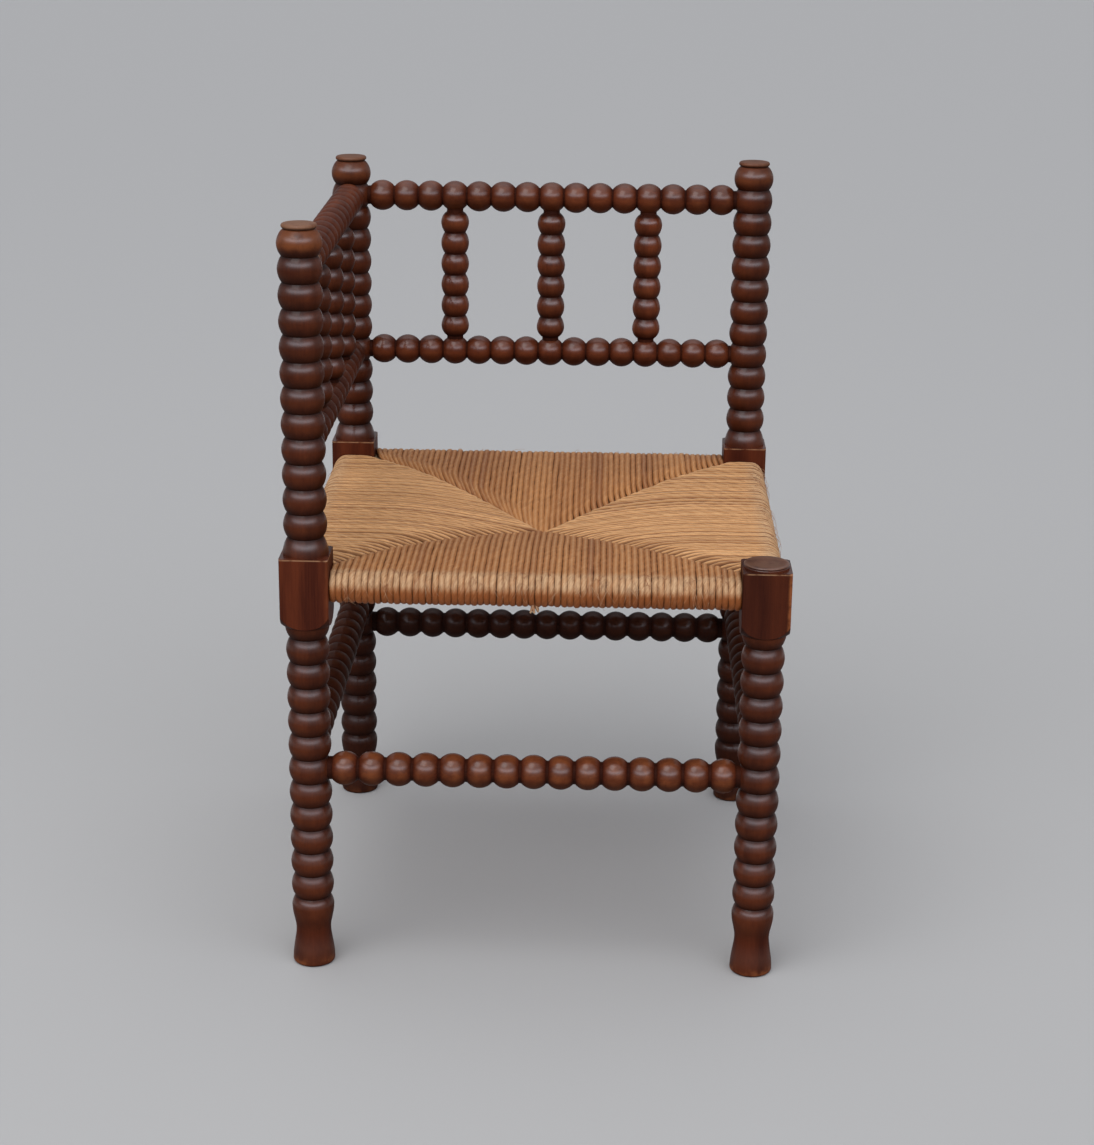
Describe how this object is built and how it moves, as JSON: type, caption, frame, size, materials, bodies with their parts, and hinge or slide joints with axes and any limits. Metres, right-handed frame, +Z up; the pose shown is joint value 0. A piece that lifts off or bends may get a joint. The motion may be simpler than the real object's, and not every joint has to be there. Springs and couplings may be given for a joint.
{
  "type": "corner chair",
  "caption": "Corner chair of bobbin-turned wood with a square woven rush seat, a low spindled back and a matching side panel, for sitting at a table or in a corner.",
  "frame": {"origin": "on the floor, in the middle of the square on which the four posts stand", "axes": "+Z up; -Y is the open front; the back panel is at +Y and the side panel at -X"},
  "size_m": [0.487, 0.487, 0.7475],
  "materials": {
    "turned_wood": "dark stained, waxed satin",
    "seat_rail_wood": "bare, rounded edges",
    "rush": "twisted rush cord, dry satin",
    "stuffing": "loose dry rush"
  },
  "bodies": {
    "root": {"corner_post": "turned_wood", "back_right_post": "turned_wood", "front_left_post": "turned_wood", "front_right_post": "turned_wood", "back_top_rail": "turned_wood", "back_lower_rail": "turned_wood", "side_top_rail": "turned_wood", "side_lower_rail": "turned_wood", "back_spindle_left": "turned_wood", "back_spindle_middle": "turned_wood", "back_spindle_right": "turned_wood", "side_spindle_front": "turned_wood", "side_spindle_middle": "turned_wood", "side_spindle_back": "turned_wood", "front_stretcher": "turned_wood", "back_stretcher": "turned_wood", "left_stretcher": "turned_wood", "right_stretcher": "turned_wood", "front_seat_rail": "seat_rail_wood", "back_seat_rail": "seat_rail_wood", "left_seat_rail": "seat_rail_wood", "right_seat_rail": "seat_rail_wood", "rush_seat": "rush", "seat_stuffing": "stuffing"}
  },
  "joints": []
}
